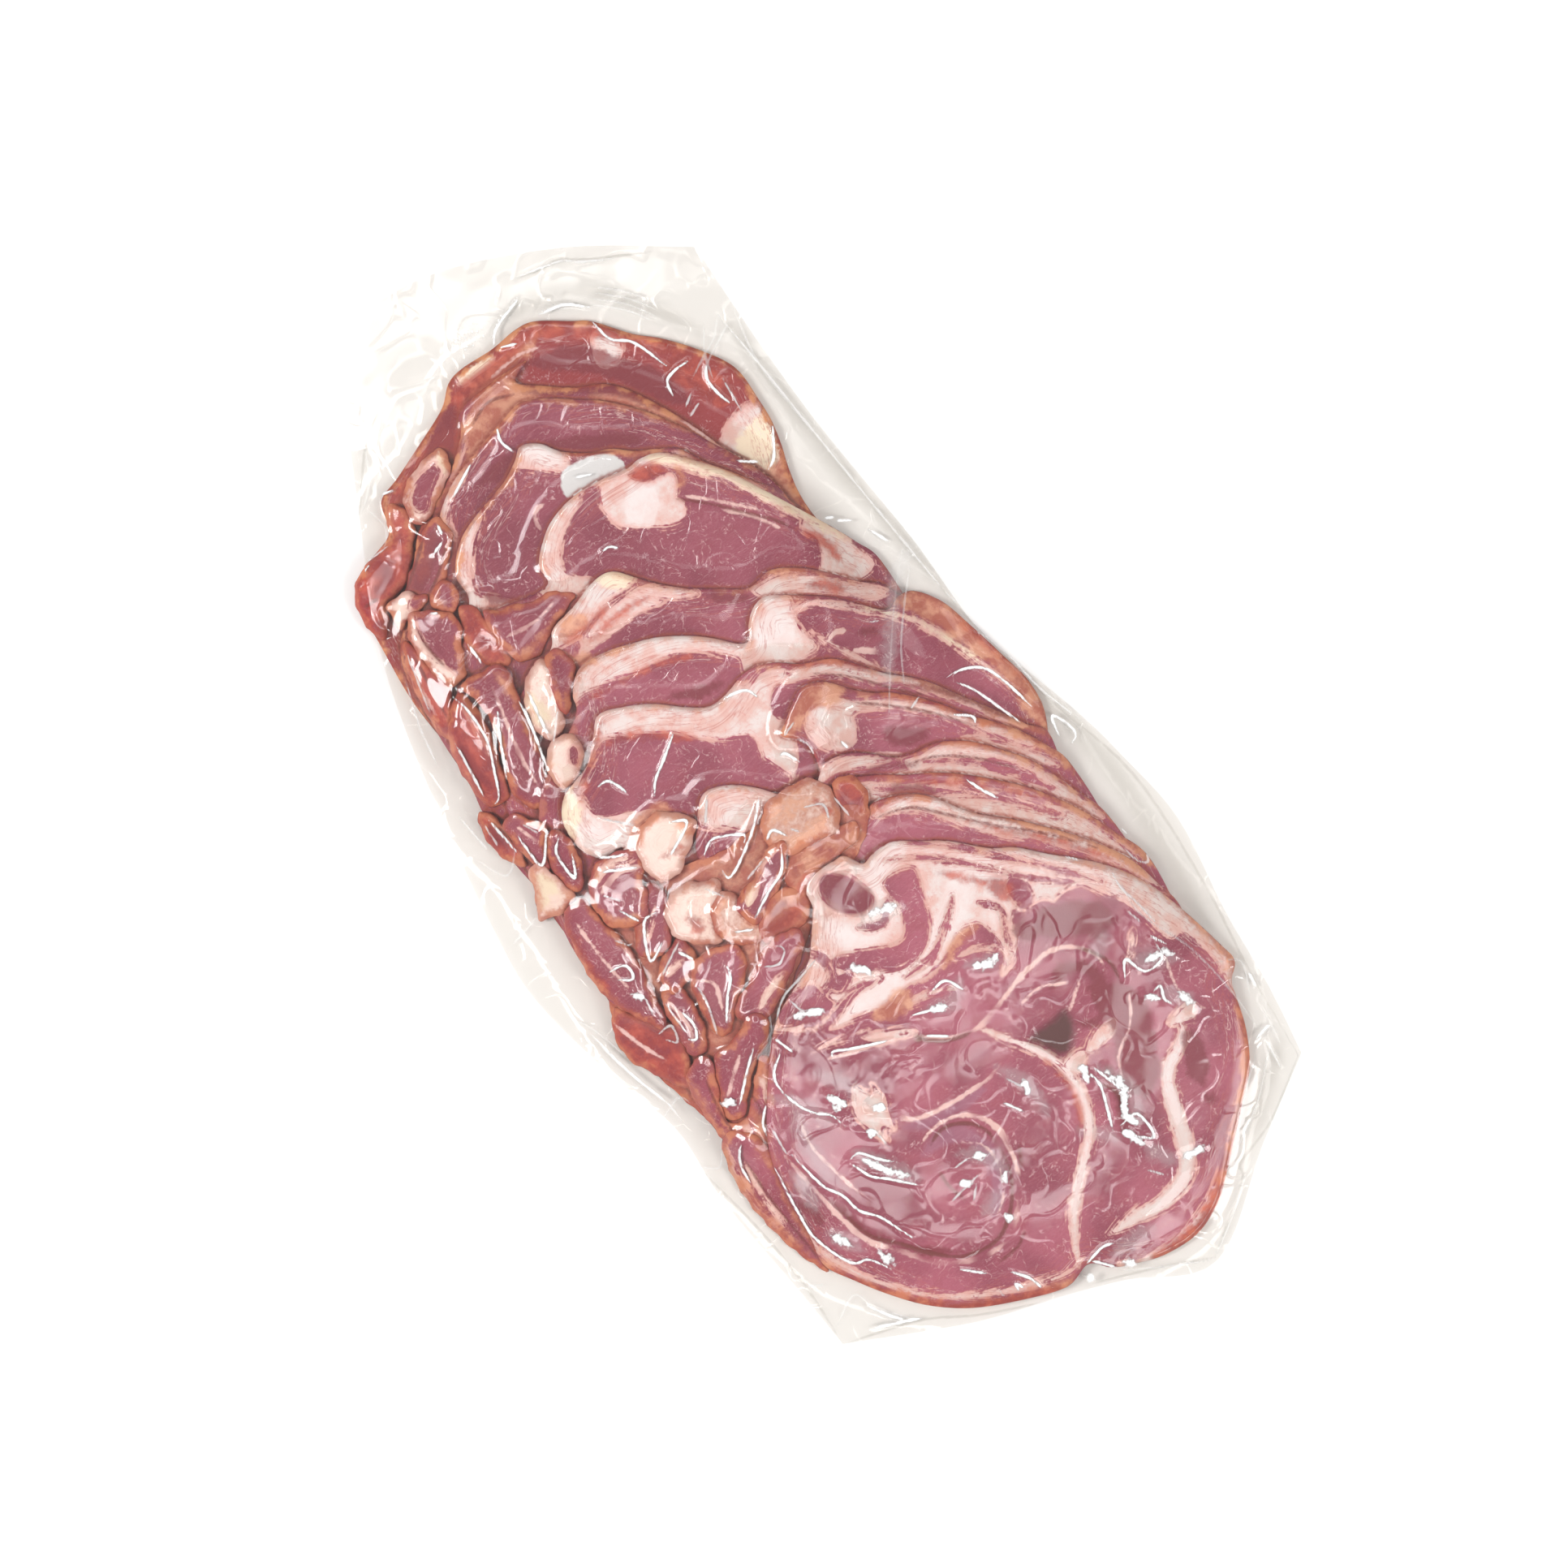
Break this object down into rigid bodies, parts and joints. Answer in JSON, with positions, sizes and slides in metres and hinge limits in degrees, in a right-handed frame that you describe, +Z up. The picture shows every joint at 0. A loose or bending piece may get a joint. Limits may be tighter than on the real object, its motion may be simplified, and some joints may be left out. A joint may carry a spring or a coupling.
{
  "type": "vacuum-packed sliced lamb bacon",
  "caption": "Fan of thin round slices of rolled lamb bacon, sealed flat in a clear vacuum pouch with a narrow film margin.",
  "frame": {"origin": "middle of the pack's plan, at the flat underside", "axes": "+Y along the pack towards the first, undermost slice; +X across it, away from the folded lobes; +Z up, through the film over the slices"},
  "size_m": [0.148, 0.3, 0.0191],
  "materials": {
    "film": "clear glossy vacuum film",
    "meat": "moist cured lamb with cream fat, under film"
  },
  "bodies": {
    "root": {"sealed_bag": "film"}
  },
  "joints": []
}
